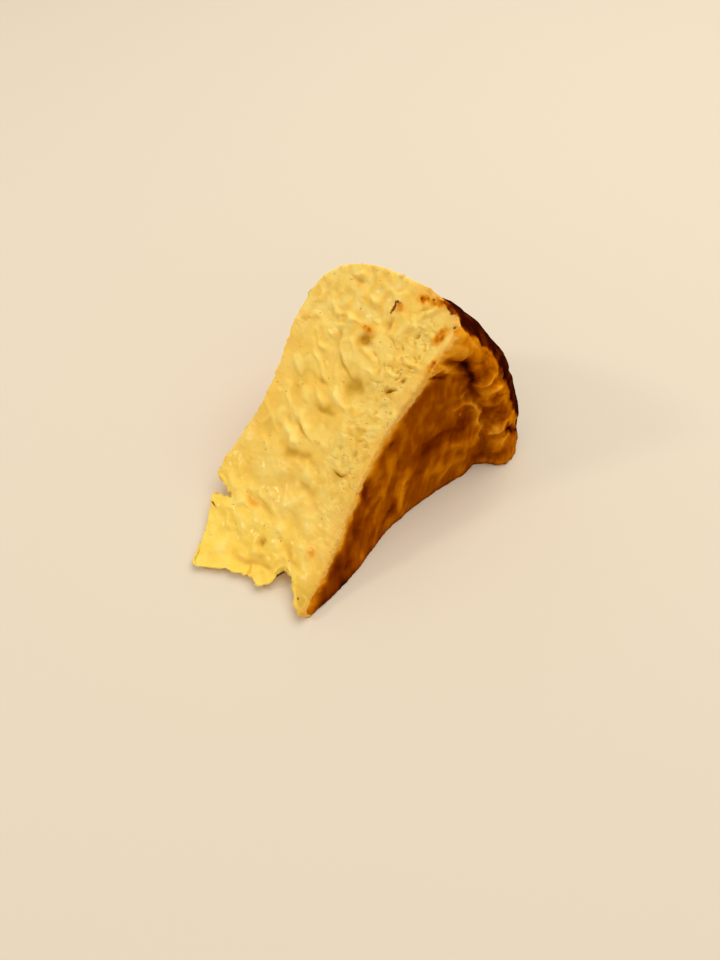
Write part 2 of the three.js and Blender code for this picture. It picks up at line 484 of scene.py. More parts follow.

# %% Hollows
# A hollow is a ridge of negative height
HOLLOWS = [
    ([(41.5, 29.3), (38.7, 33.3), (36.8, 38), (37.6, 42)], 1.4, -0.9),
    ([(45.4, 33.3), (46.5, 37), (47, 41)], 0.6, -0.8),
    ([(57.4, 28.5), (56.6, 31.5), (55, 35.3)], 0.9, -1.0, 1.7),
    ([(54, 30.5), (51, 31)], 2.6, -0.7),
    ([(63.5, 43), (62.8, 40), (63.5, 36.5)], 1.0, -0.7),
    ([(78, 41.5), (75.5, 39.5)], 1.1, -0.6),
    ([(61, 45), (56, 47), (52, 46)], 2.4, -0.4),
    ([(96.8, 39.3), (96.1, 45.3)], 1.0, -0.7, 1.5),
    ([(100.5, 36.5), (102, 40)], 1.0, -0.5),
    ([(87.5, 47), (90, 51)], 1.2, -0.5),
    ([(82.5, 42.5), (83.5, 47.5)], 1.1, -0.5),
    ([(90.5, 24), (92.5, 24.2), (95, 24.7)], 1.0, -0.7),
    ([(31.8, 20), (31.3, 27), (27, 32.6)], 1.8, -1.0, 1.4),
    ([(39.8, 24), (40.6, 29)], 1.5, -0.6),
    ([(16, 31.3), (16.9, 36.8)], 1.4, -0.5),
    ([(15.3, 38.3), (15.6, 44)], 1.2, -0.5),
    ([(9.4, 11.5), (10.5, 15.5), (11.8, 19.3)], 1.6, -1.0),
    ([(1.4, 20), (0.3, 23.5), (-3, 28.5), (-4.2, 33.5)], 1.2, -1.2, 1.5),
    ([(-3.0, 25.8), (-4.2, 23.8), (-5.8, 21.6)], 0.55, -1.5),
    ([(21, 41), (20, 47), (22, 52)], 2.0, -0.35),
    ([(36, 49), (41, 52)], 2.0, -0.35),
    ([(28, 15), (29, 21)], 1.8, -0.6),
    ([(23, 5.5), (24.5, 9)], 1.6, -0.5),
    ([(45.5, 42), (46.8, 45.5)], 1.4, -0.6),
]
print(len(HOLLOWS), "hollows")

# %% Cracks
# A crack is a narrow, deep hollow
CRACKS = [
    ([(88, 23.3), (88.5, 20.5), (87, 18.5)], 0.5, -0.5),
    ([(85, 17.6), (82, 16.2), (80.2, 15)], 0.45, -0.5),
    ([(88.5, 16.5), (87.4, 14), (88.2, 12.4)], 0.4, -0.8),
    ([(91.2, 12.4), (93, 13.1), (95.5, 12.2)], 0.5, -0.8),
    ([(72.4, 15), (74.9, 13.7), (76.8, 11.4)], 0.42, -1.1),
    ([(79.2, 11.3), (81.5, 9.6)], 0.6, -0.9),
    ([(78.8, 13.5), (80.6, 12.2), (83, 12.8)], 0.4, -0.8),
    ([(64.8, 9.1), (67.5, 8.3)], 0.35, -0.7),
    ([(69.6, 9.8), (70.4, 8.8)], 0.35, -0.6),
    ([(43.2, 18.8), (43.4, 15), (45, 13.3), (47, 12.7)], 0.32, -0.75),
    ([(55.5, 13), (57.2, 11.3)], 0.4, -0.8),
    ([(56.5, 17.5), (56.2, 15.2), (57.5, 14)], 0.5, -0.7),
    ([(64.5, 15.4), (67, 14.2), (70, 13.6)], 0.4, -0.5),
    ([(80.5, 27), (81.5, 24.5), (80.5, 22.5)], 0.5, -0.6),
    ([(2.2, 50.8), (2.7, 53), (1.9, 55.2)], 0.32, -1.6),
    ([(74.5, 57.6), (76.3, 56), (77, 54.5)], 0.4, -0.6),
]
print(len(CRACKS), "cracks")

# %% Bumps and pits
# Each is its place, then its radius and its height in mm
SPOTS = [
    ((69.8, 25.3), 2.5, -1.3), ((67.3, 27.4), 2.2, -0.6), ((77, 29), 6.0, 0.5),
    ((83.2, 30.2), 2.3, -0.7), ((86.4, 31.2), 1.1, -0.3), ((62.4, 29.9), 1.8, 0.6),
    ((93.6, 43.6), 1.8, 0.7), ((99.5, 41), 1.4, 0.5), ((84.3, 37.4), 2.3, 0.7),
    ((78.6, 43), 1.7, 0.7), ((88, 42.5), 1.7, 0.5), ((93, 34), 1.9, 0.5), ((101, 33), 1.7, 0.5),
    ((99.8, 29), 1.5, 0.4), ((85.5, 48.5), 1.8, 0.5), ((91, 53), 1.6, 0.4),
    ((94.5, 38.8), 1.5, 0.5), ((84.8, 15.4), 1.9, 0.8), ((79.8, 16.8), 1.3, 0.6),
    ((96, 16.2), 1.9, 0.5), ((88.5, 27), 1.5, 0.4), ((62, 20.5), 2.2, 0.4),
    ((91.5, 19.5), 1.6, 0.4), ((52, 14.2), 1.0, -0.6), ((46, 29), 0.9, -0.6),
    ((23.1, 28.6), 1.8, 0.7), ((22, 35), 1.8, 0.7), ((30.7, 36), 1.9, 0.8), ((15, 25), 2.2, 0.6),
    ((16, 15), 2.0, 0.7), ((22.8, 15), 2.0, 0.5), ((20.5, 21.8), 3.2, -1.0), ((35, 24), 2.2, 0.5),
    ((3.8, 36.5), 2.6, 0.5), ((27, 10), 2.2, 0.3), ((33, 12.5), 1.8, 0.4),
    ((47.5, 26.5), 2.2, 0.5), ((5.8, 27.9), 1.5, -1.0), ((7.1, 27.0), 0.6, -0.8),
    ((-13, 48), 2.6, 0.8), ((-1.5, 50), 2.2, 0.5), ((7, 40.5), 2.0, 0.5),
    ((10.3, 43.8), 1.1, 0.5), ((12, 22), 0.8, -0.7), ((28, 17), 1.8, 0.4), ((-6, 38.5), 2.0, 0.5),
    ((0.5, 28), 2.2, 0.5), ((8, 23), 2.4, 0.4), ((73.4, 22.8), 2.0, 0.6),
    ((60.8, 16.2), 1.8, 0.5), ((40.6, 37.6), 1.6, 0.6),
]
# The curd above and to the right of this line stands proud, where the soft middle sank from it
PROUD_EDGE = [(71.0, 30.2), (72.3, 34), (74.5, 37), (79.4, 40.2)]
PROUD_HEIGHT = 0.6
PROUD_SOFTNESS = 0.8
PROUD_REACH = 3.0
print(len(SPOTS), "bumps and pits")

# %% Lay them on the cut face
flat_place = np.stack((r, depth, 20 * turn), axis=1)
torn_r = r + 0.8 * lumps(flat_place, 4, 58)
torn_depth = depth + 0.8 * lumps(flat_place, 4, 59)
cut_height = together(ridge, torn_r, torn_depth, RIDGES + HOLLOWS)
cut_height *= 0.85 * np.clip(1 + 0.6 * lumps(flat_place, 3.2, 60), 0.3, 1.5)
cut_height += together(dent, torn_r, torn_depth, SPOTS)
cut_height -= shelf(torn_r, torn_depth, PROUD_EDGE, PROUD_HEIGHT, PROUD_SOFTNESS, PROUD_REACH)
broken_up = np.clip(0.75 + 1.1 * lumps(flat_place, 2.0, 53), 0, 1.4)
crack_height = together(ridge, r, depth, CRACKS) * broken_up
print("hand-laid relief runs from", cut_height.min().round(1), "to", cut_height.max().round(1), "mm")

# %% Kinds of lumps
PULL = math.radians(56)          # the way the blade dragged the curd
CRUMBLE = math.radians(-32)      # the way the crumbs line up below the browned top
swirl_r = r + 1.6 * lumps(flat_place, 6, 51)
swirl_depth = depth + 1.6 * lumps(flat_place, 6, 52)


def stretched_along(angle, stretch):
    """Places on the cut face, swirled, and drawn out in one direction."""
    forward = swirl_r * math.cos(angle) + swirl_depth * math.sin(angle)
    sideways = swirl_depth * math.cos(angle) - swirl_r * math.sin(angle)
    return np.stack((forward / stretch, sideways, 20 * turn), axis=1)


def blobs(coordinates, size, seed):
    """Round blobs on an even ground, as soft curd is pulled up by a blade."""
    return 1.5 * np.maximum(lumps(coordinates, size, seed) - 0.05, 0) ** 1.2 - 0.3


def inside_crumb(coordinates, size, seed):
    """How far inside its crumb each point is, and 0 on the crack between two crumbs."""
    shift = np.array((7.9, 13.1, 3.3)) * seed
    found = [noise.voronoi(Vector(spot))[0] for spot in (coordinates / size + shift).tolist()]
    return np.array([second - first for first, second, _, _ in found])


CRUMB_SIZE = 2.9     # mm
CRUMB_WARP = 0.35    # mm that the crumbs' borders wander by
CRACK_SHARE = 0.12   # of a crumb's size: closer than this to a border, a crack may open
pulled_place = stretched_along(PULL, 1.5)
firm_place = stretched_along(math.pi / 2, 1.4)
crumbly_place = stretched_along(CRUMBLE, 1.1)
crumb_shift = np.stack([lumps(flat_place, 1.3, seed) for seed in (71, 72, 73)], axis=1)
inside = inside_crumb(crumbly_place + CRUMB_WARP * crumb_shift, CRUMB_SIZE, 1)
near_border = float((inside < CRACK_SHARE).mean())
print(round(100 * near_border), "percent of the points are near a border between two crumbs")

# %% Where the curd is firm, crumbly, creamy or pulled
firm = ease(r, 66, 82) * ease(depth, 18, 27)
crumbly = ease(from_top, 1.0, 4.0) * ease(from_top, 21, 13) * ease(r, 24, 44)
creamy = ease(r, 42, 24)
pulled = (1 - firm) * (1 - crumbly) * (1 - creamy)
for name, share in {"firm": firm, "crumbly": crumbly, "creamy": creamy, "pulled": pulled}.items():
    print(name, round(100 * float((share * on_cut).sum() / on_cut.sum())), "percent of the cut")

# %% Lumps between the strokes
rolling = 0.5 * lumps(flat_place, 15, 1)
firm_lumps = 0.55 * blobs(firm_place, 3.0, 2) + 0.22 * lumps(flat_place, 4.5, 3)
pulled_lumps = 0.50 * blobs(pulled_place, 3.4, 4) + 0.25 * lumps(flat_place, 6.0, 5)
crumbly_lumps = 0.40 * blobs(crumbly_place, 3.4, 6) + 0.10 * lumps(crumbly_place, 1.2, 7)
crumbly_lumps += 0.7 * np.minimum(inside, 0.45) * ease(lumps(flat_place, 5, 66), -0.5, 0.3)
# A crack opens along some of the borders only, and pinholes open between them
torn_open = ease(inside, CRACK_SHARE, 0.01) * ease(lumps(flat_place, 3.0, 62), 0.1, 0.4)
pinholes = ease(lumps(flat_place, 1.5, 63), -0.78, -1.0)
openings = crumbly * np.maximum(torn_open, pinholes) * ease(lumps(flat_place, 9, 64), -0.4, 0.3)
creamy_lumps = 0.36 * lumps(pulled_place, 4.0, 8) + 0.09 * lumps(flat_place, 1.7, 9)
cut_height += rolling + firm * firm_lumps + pulled * pulled_lumps
cut_height += crumbly * crumbly_lumps + creamy * creamy_lumps

# %% Which parts of the relief get painted shade in hollows and painted light on crests
# Hollows are coloured deeper yellow as painted shade, and so is a band just below the browned top
# (shaded); chance patches lighten them, as the curd's own tone.
hollow = np.clip(-(cut_height - rolling) / 0.8, 0, 1)
# Crests are coloured paler as painted light; firm and crumbly curd and chance patches are paler too, as
# the curd's own tone.
crest = np.clip((cut_height - rolling) / 0.8, 0, 1)
hollow *= 1 - np.maximum(0.5 * firm, 0.65 * creamy)
crest = np.maximum(crest, 0.5 * firm + 0.3 * crumbly)
patchy = (0.55 * crumbly + 0.4 * firm) * (lumps(flat_place, 2.8, 67) + 0.5 * lumps(flat_place, 6, 68))
crest = np.clip(crest + patchy, 0, 1)
shaded = (0.7 * ease(r, 16, 6) + 0.25 * ease(r, 62, 48)) * ease(from_top, 8, 1)
hollow = np.clip(hollow - 0.8 * patchy + shaded, 0, 1)
cut_height += crack_height - 0.28 * openings
cut_height *= ease(from_top, 0.0, 1.2) * 0.7 + 0.3
print("with lumps, from", cut_height.min().round(1), "to", cut_height.max().round(1), "mm")

# %% [markdown]
# ## The browned top
#
# The top rose in the oven, browned, and sank again as it cooled, so its skin is wrinkled, and the
# rim stands up in folds where the paper was pleated. At the foot of the rim is a deep pocket under
# an overhanging roll, and its dark colour is painted shadow of the roll over the burnt skin. The
# wrinkles run slantwise, so one direction is taken for all of them. These strokes are laid as
# (r, turn), because that is how the skin runs.

# %% Folds of the rim
# Each is its path, then half its width and its height in mm, then its skew
RIM_FOLDS = [
    ([(94.0, 0.96), (95.0, 0.90), (95.6, 0.82), (95.0, 0.77),
      (93.0, 0.70), (92.7, 0.60)], 1.3, -1.5, 1.6),
    ([(93.0, 0.62), (92.6, 0.50), (92.4, 0.40), (91.0, 0.33),
      (90.4, 0.20), (89.4, 0.05)], 0.9, -0.8, 1.4),
    ([(84.2, 0.628), (86.2, 0.624), (89, 0.576), (91, 0.56),
      (91.2, 0.45), (90.4, 0.35), (88.8, 0.22)], 1.1, 1.2),
    ([(87.5, 0.985), (90.6, 0.95), (91.2, 0.90)], 1.8, 1.2),
    ([(86.4, 0.955), (87.2, 0.92), (88.8, 0.865), (90.6, 0.86)], 0.6, -0.8),
    ([(97.5, 0.985), (99, 0.93), (100.5, 0.86)], 2.2, 0.7),
    ([(98.0, 0.79), (101.2, 0.77), (103.5, 0.75)], 0.5, -0.6, 2.0),
    ([(94.6, 0.715), (96.8, 0.732), (100, 0.688), (103.2, 0.636)], 0.6, -0.6, 2.2),
    ([(96.4, 0.655), (99.5, 0.64), (102.4, 0.60)], 1.0, 0.7),
    ([(96.8, 0.632), (99, 0.615), (102, 0.575)], 0.5, -0.5, 2.0),
    ([(95.5, 0.575), (99, 0.56), (102.5, 0.53)], 1.1, 0.8),
    ([(94.8, 0.548), (96, 0.532), (98.2, 0.528), (101.8, 0.484)], 0.6, -0.9, 2.0),
    ([(96.5, 0.47), (100, 0.42)], 2.4, -0.6),
    ([(95.5, 0.40), (98, 0.36), (101.5, 0.385)], 1.0, 0.5),
    ([(91.5, 0.25), (94, 0.29), (97.2, 0.316), (100, 0.31)], 0.9, 1.1),
    ([(98.0, 0.27), (100.2, 0.22), (102.4, 0.155)], 1.1, -1.8, 1.4),
    ([(93.8, 0.13), (95.2, 0.19), (98.8, 0.17)], 1.9, 1.2),
    ([(88, 0.03), (92, 0.05), (96, 0.02)], 2.0, 1.1),
    ([(84, 0.25), (86.8, 0.21), (87.6, 0.12), (87.0, 0.02)], 1.4, 1.0),
]
print(len(RIM_FOLDS), "folds")

# %% Hollows and swells of the top
TOP_HOLLOWS = [
    ([(88, 0.50), (80, 0.45), (72.5, 0.49), (64, 0.51)], 3.2, -1.0),
    ([(62, 0.64), (72, 0.62), (82, 0.60)], 2.6, 0.5),
    ([(50, 0.35), (46.8, 0.23), (43.2, 0.18)], 1.4, -0.7),
    ([(36.8, 0.86), (32.8, 0.71), (27.2, 0.55)], 1.6, -0.6),
    ([(47.5, 0.96), (44.5, 0.85), (40.5, 0.72)], 1.4, -0.6),
    ([(49.8, 0.69), (40.8, 0.46)], 1.6, 0.5),
    ([(57.2, 0.5), (51.8, 0.28), (48.5, 0.1)], 2.0, 0.5),
    ([(65.5, 0.30), (71, 0.22), (80, 0.17)], 2.6, 0.4),
    ([(62.8, 0.896), (60.5, 0.88)], 1.2, -0.5),
    ([(22, 0.9), (18, 0.55)], 1.6, -0.4),
]
print(len(TOP_HOLLOWS), "hollows and swells")


# %% Lay them on the top, and wrinkle it
def on_skin(strokes):
    """The same strokes with turn made into mm round the cake, which suits paths on the top."""
    return [([(a, a * b * SLICE_ANGLE) for a, b in path], *rest) for path, *rest in strokes]


WRINKLE = math.radians(56)
along_wrinkle = r * math.cos(WRINKLE) + arc * math.sin(WRINKLE)
across_wrinkle = arc * math.cos(WRINKLE) - r * math.sin(WRINKLE)
skin_place = np.stack((along_wrinkle, across_wrinkle, depth), axis=1)
streak_place = skin_place / np.array((2.6, 1.0, 1.0))
rim_place = np.stack((r / 1.8, arc, depth), axis=1)

top_r = r + 0.9 * lumps(skin_place, 4.5, 54) + 0.4 * lumps(skin_place, 1.8, 56)
top_arc = arc + 1.2 * lumps(skin_place, 4.5, 55) + 0.4 * lumps(skin_place, 1.8, 57)
top_height = together(ridge, top_r, top_arc, on_skin(RIM_FOLDS + TOP_HOLLOWS))
wrinkles = 0.34 * lumps(streak_place, 3.4, 11) + 0.14 * lumps(streak_place, 1.4, 12)
blisters = 0.30 * lumps(rim_place, 4.0, 13) + 0.16 * lumps(rim_place, 1.8, 14)
rim = ease(r, 86, 94)
top_height += (1 - rim) * (wrinkles + 0.4 * lumps(skin_place, 9, 15))
top_height += rim * (blisters + 0.4 * lumps(skin_place, 6.5, 16))
foot = ease(arc, 3.5, 0.5)
frayed_skin = 0.25 * lumps(skin_place, 1.2, 17) * ease(from_cut_edge, 4.5, 1)
top_height += frayed_skin * (1 + 1.4 * ease(np.abs(r - 89), 4, 1))
top_height = top_height * (1 - 0.6 * foot * (1 - rim)) + (0.4 + 0.7 * ease(r, 46, 26)) * foot
print("the top's relief runs from", top_height.min().round(1), "to", top_height.max().round(1), "mm")

# %% [markdown]
# ## The outer wall, the bottom and the torn tip
#
# The wall was pressed against pleated paper, so it has upright creases, and it is the darkest skin
# of all. The bottom kept the paper's fine creases. The torn tip is plain curd, pulled apart, so it
# is rough all over, and its edge droops.

# %% Relief of the wall, the bottom and the torn tip
upright_place = np.stack((arc, depth / 4, 0 * r), axis=1)
wall_height = 0.7 * lumps(upright_place, 5.0, 21) + 0.35 * lumps(upright_place, 2.2, 22)
wall_height += 0.35 * lumps(rim_place, 3.0, 23)
bottom_height = 0.25 * lumps(streak_place, 3.5, 24) + 0.2 * lumps(skin_place, 7, 25)
torn_height = 0.5 * lumps(points, 3.6, 26) + 0.45 * lumps(points, 1.5, 27) + 0.2 * lumps(points, 0.8, 30)

torn_tree = skin_tree(torn_faces)
nearest_torn = [torn_tree.find_nearest(spot) for spot in (points * MM).tolist()]
from_torn = np.array([found[3] for found in nearest_torn]) / MM
droop = (0.75 + 0.5 * lumps(points, 5, 28)) * ease(from_torn, 3.4, 0.1) * ease(r, 22, 12)
cut_height -= droop
frayed = 0.5 * lumps(points, 1.5, 29) * ease(from_bottom, 2.2, 0.6)
print("the torn edge droops by up to", droop.max().round(1), "mm")

# %% Put the relief of all faces together
CORNER_R = 104       # the rim's outer corner, which stands out fuller at the upper cut
CORNER_DEPTH = 1
CORNER_SPREAD = 28   # mm squared
CORNER_FILL = 1.5

height = on_cut * cut_height + on_top * top_height
height += on_wall * wall_height * (1 - 0.85 * ease(turn, 0.86, 1.0) * ease(depth, 12, 22))
height += on_bottom * bottom_height * (1 - 0.8 * ease(turn, 0.9, 1.0)) + on_torn * torn_height
height += frayed * ease(turn, 0.8, 0.95) * (1 - on_cut)
at_corner = np.exp(-((r - CORNER_R) ** 2 + (depth - CORNER_DEPTH) ** 2) / CORNER_SPREAD)
height += CORNER_FILL * at_corner * ease(turn, 0.8, 0.97) * (1 - on_cut)
height *= 1 - on_under
sculpted = points + normals * height[:, None]
print("the surface moves by", height.min().round(1), "to", height.max().round(1), "mm")

# %% The torn edge overhangs, because it sagged over its own foot
UNDERCUT = 2.1
UNDERCUT_REACH = 3.8


def move_points(mesh, points):
    mesh.vertices.foreach_set("co", (points * MM).astype(np.float32).ravel())
    mesh.update()


outward = np.array([(found[1].x, found[1].y, 0.0) for found in nearest_torn])
outward /= np.maximum(np.linalg.norm(outward, axis=1), 1e-6)[:, None]
share_up = points[:, 2] / np.maximum(bend(r, np.ones(len(r)))[1], 1.0)
inward = UNDERCUT * ease(share_up, 0.8, 0.1) * ease(from_torn, UNDERCUT_REACH, 0)
sculpted -= outward * inward[:, None]
sculpted[:, 2] = np.maximum(sculpted[:, 2], 0.0)
move_points(body.data, sculpted)
print("the torn foot draws in by up to", inward.max().round(1), "mm")

# %% [markdown]
# ## Where the colours go
#
# Colour follows the same places. Skin browns within a millimetre of the surface, and how dark it
# is differs from fold to fold: crests are amber and creases nearly black, partly from the skin's
# own browning, and partly as painted light on the crests and painted shade in the creases. On the
# curd there are a few caramel stains with dark flakes in them, an olive tone in pits and cracks
# that is mostly painted shade, and wet glossy spots. The hollows of the curd are painted deeper
# yellow as painted shade, and the crests of its lumps paler as painted light. All of these are kept
# as attributes of the mesh, one number for each point, and the materials read them.

# %% Darker strokes on the browned top
# Each is its path, then half its width and how much darker, or lighter if negative. Many follow
# the creases and hollows of the folds above, so their darkness is partly painted shade; the first,
# in the pocket under the roll, is painted shadow over the burnt skin.
DARKER_AND_SHADE = [
    ([(94.0, 0.96), (95.2, 0.90), (96.0, 0.82), (95.6, 0.77), (93.4, 0.70), (92.8, 0.60)], 1.6, 0.44),
    ([(96, 0.84), (98.4, 0.80)], 1.4, 0.16),
    ([(98, 0.72), (101, 0.685)], 1.2, 0.12),
    ([(98.5, 0.60), (101.5, 0.575)], 1.1, 0.12),
    ([(92.8, 0.62), (92.4, 0.50), (92.2, 0.40), (90.8, 0.33)], 0.8, 0.10),
    ([(86.6, 0.95), (87.4, 0.91), (88.8, 0.86)], 0.8, 0.30),
    ([(93, 0.47), (96, 0.43), (99.5, 0.37)], 3.0, 0.24),
    ([(88.8, 0.52), (83, 0.46), (77, 0.49), (70, 0.53), (64, 0.52)], 3.2, 0.32),
    ([(70.2, 0.476), (65, 0.42), (60, 0.34)], 2.2, 0.20),
    ([(97.8, 0.28), (100.2, 0.22), (102.4, 0.15)], 1.3, 0.50),
    ([(62.8, 0.896), (60.5, 0.88)], 1.1, 0.36),
    ([(47.5, 0.97), (44.5, 0.85), (40.5, 0.72)], 1.3, 0.32),
    ([(50, 0.35), (46.8, 0.24), (43.2, 0.18)], 1.2, 0.36),
    ([(36.8, 0.86), (32.8, 0.71), (27.2, 0.55)], 1.6, 0.28),
    ([(45.2, 0.60), (41, 0.55)], 0.9, 0.22),
    ([(38.5, 0.31), (33.5, 0.236)], 1.1, 0.26),
    ([(20.8, 0.50), (23, 0.31)], 2.0, 0.24),
    ([(22, 0.95), (17.5, 0.60), (17, 0.30)], 2.0, 0.18),
    ([(80, 0.97), (84, 0.86)], 1.6, 0.10),
    ([(86.5, 0.04), (90, 0.08), (94, 0.10)], 2.8, 0.30),
]
print(len(DARKER_AND_SHADE), "darker strokes")

# %% Lighter strokes on the browned top
# Many of these follow the crests and swells of the folds above, so their lightness is partly painted
# light.
LIGHTER_AND_HIGHLIGHT = [
    ([(84.2, 0.628), (86.2, 0.624), (89, 0.576), (91, 0.56),
      (91.2, 0.45), (90.4, 0.35), (88.8, 0.22)], 1.3, -0.32),
    ([(97.5, 0.99), (99.5, 0.92), (100, 0.84)], 3.2, -0.14),
    ([(102.2, 0.98), (102.6, 0.90), (103.2, 0.82)], 0.9, -0.20),
    ([(95.8, 0.66), (99, 0.64), (102, 0.615)], 1.3, -0.22),
    ([(95.8, 0.575), (99, 0.56), (102, 0.53)], 1.2, -0.20),
    ([(91.5, 0.25), (94, 0.29), (97.2, 0.316), (99.8, 0.305)], 0.9, -0.22),
    ([(95.4, 0.18), (98.5, 0.18)], 1.6, -0.34),
    ([(88, 0.985), (91, 0.95), (91.2, 0.90)], 1.6, -0.34),
    ([(80, 0.99), (84, 0.985), (85, 0.94)], 1.5, -0.45),
    ([(57, 0.955), (68, 0.955)], 1.7, -0.18),
    ([(83, 0.72), (87.5, 0.67)], 2.0, -0.14),
    ([(73, 0.41), (79, 0.33), (87, 0.235)], 2.2, -0.20),
    ([(65.5, 0.30), (71, 0.22), (80, 0.17)], 3.2, -0.26),
    ([(49.8, 0.69), (40.8, 0.46)], 1.4, -0.22),
    ([(57.2, 0.50), (51.8, 0.28), (48.5, 0.10)], 2.2, -0.28),
    ([(42.5, 0.71), (35, 0.59)], 1.1, -0.16),
    ([(88, 0.66), (91.5, 0.61)], 1.3, -0.20),
    ([(12.5, 0.95), (21, 0.97), (28, 0.90)], 1.6, -0.20),
    ([(54, 0.92), (55, 0.60)], 4.0, -0.14),
    ([(12.5, 0.95), (12.5, 0.60)], 1.6, -0.14),
]
print(len(LIGHTER_AND_HIGHLIGHT), "lighter strokes")

# %% How dark each skin is
wall_start = 104.2 + 1.0 * lumps(rim_place, 5, 34) + 0.6 * lumps(rim_place, 2, 35)
wall_start += 1.6 * np.exp(-(((turn - 0.68) / 0.1) ** 2)) - 1.8 * ease(turn, 0.82, 0.92)
# The top's darkness is its own browning, with painted shade in creases and painted light on crests, from
# the strokes and from the rim's relief.
char = 0.46 + together(ridge, top_r, top_arc, on_skin(DARKER_AND_SHADE + LIGHTER_AND_HIGHLIGHT)) + 0.22 * ease(r, 30, 16)
char += 0.10 * lumps(streak_place, 3.2, 31) + 0.05 * lumps(streak_place, 1.4, 32)
# On the rim the skin is lighter overall, and also lighter where it stands higher and darker where it lies
# lower: painted light and painted shade.
char -= (0.12 + 0.12 * np.clip(top_height, -1.5, 1.5)) * rim
char -= 0.44 * ease(from_cut_edge, 4.4, 0.8) + 0.12 * ease(from_cut_edge, 6, 1) * ease(r, 34, 20)
char += 0.20 * ease(arc, 2.2, 0.3)
wall_char = 1.0 + 0.10 * lumps(rim_place, 3.5, 33)
from_torn_edge = from_cut_edge + 0.9 * lumps(rim_place, 1.8, 39)
wall_char -= 0.45 * ease(from_torn_edge, 4.5, 0.8) * ease(depth, 11, 16)
wall_char -= 0.40 * ease(from_torn_edge, 1.8, 0.2)
past_rim = np.maximum(ease(r - wall_start, -0.8, 0.8), ease(depth, 9, 14))
char = char * (1 - past_rim) + wall_char * past_rim
char = np.where(on_bottom > 0.5, 0.08 + 0.9 * ease(r, 74, 96), char)
char = np.clip(char, 0, 1.1)
print("skins run from", char.min().round(2), "(amber) to", char.max().round(2), "(nearly black)")

# %% Where skin ends and curd begins
ragged = 0.3 * lumps(flat_place, 3.2, 36) + 0.15 * lumps(flat_place, 1.1, 37)
past_edge = from_cut_edge / np.clip(r / 14, 0.15, 1) - from_top + 1.5 * ragged
skin_start = 0.6 * ease(r, 6, 20) * ease(r, 88, 84)
skin_full = 2.5 + 1.6 * ease(r, 64, 76) * ease(r, 87, 82) - 1.1 * ease(r, 84, 88)
brown = np.minimum(ease(from_top + ragged, 0.9, 0.2), ease(past_edge, skin_start, skin_full))
brown = np.maximum(brown, ease(from_wall + ragged, 1.2, 0.2) * (1 - pale_edge))
corner_width = 0.3 + 0.8 * lumps(rim_place, 1.8, 38) + 3.0 * ease(depth, 12, 18) - 0.4 * ease(depth, 12, 7)
cut_corner = ease(from_cut_edge, corner_width + 0.9, corner_width - 0.6) * ease(r, 99, 103)
cut_corner *= 1 - on_top
brown *= 1 - cut_corner
brown = np.maximum(brown, 0.85 * ease(from_bottom, 1.0, 0.3) * (1 - pale_edge))
print("skin covers", round(100 * float((brown > 0.5).mean())), "percent of the points")

# %% Stains, flakes and wet spots on the curd
# Each is its path, then half its width and its strength
CARAMEL = [
    ([(96.8, 24.4), (98.0, 23.2), (98.4, 21.6)], 1.3, 0.85),
    ([(95.6, 6.6), (98, 5.6), (100.8, 4.4)], 1.5, 1.4),
    ([(103.8, 17.8), (105.0, 15.4)], 1.5, 1.3),
    ([(105.2, 13.8), (106.2, 11.2), (106.8, 8)], 1.5, 1.2),
    ([(86.2, 33.2), (86.3, 30.8), (86.8, 29.0)], 1.2, 1.0),
    ([(15.4, 43.6), (14.0, 40.4), (14.8, 38.2), (17.2, 36.5)], 1.3, 0.52),
    ([(14.8, 10.0), (16.8, 10.3), (19.2, 10.2)], 1.8, 0.62),
    ([(86.5, 3.2), (89.5, 2.8), (92.3, 2.2)], 1.7, 1.3),
    ([(91.4, 12.6), (93, 13.0)], 0.7, 0.35),
]
FLAKES = [
    ([(94.5, 25.5), (95.6, 25.6), (97, 25.2), (98.7, 25.2), (99.4, 23.3)], 0.5, 1.3),
    ([(104.1, 17.5), (104.4, 16.7)], 0.42, 1.2),
    ([(105.3, 15.2), (105.4, 14.8)], 0.4, 0.9),
    ([(105.6, 5.4), (106.4, 4.6)], 0.6, 1.3),
    ([(105.8, 13.6), (106.4, 12.4)], 0.4, 0.8),
    ([(106.8, 10.6), (107.6, 8), (107.6, 5.5), (106.8, 3)], 0.8, 0.75),
    ([(102.6, 2.0), (103.2, 2.0)], 0.45, 1.2),
    ([(86.3, 32.6), (86.9, 32.4)], 0.4, 0.9),
    ([(1.7, 4.8), (2.3, 4.4)], 0.5, 1.2),
    ([(15.4, 44.4), (15.9, 44.6)], 0.5, 0.7),
    ([(2.2, 50.8), (2.7, 53), (1.9, 55.2)], 0.4, 0.8),
]
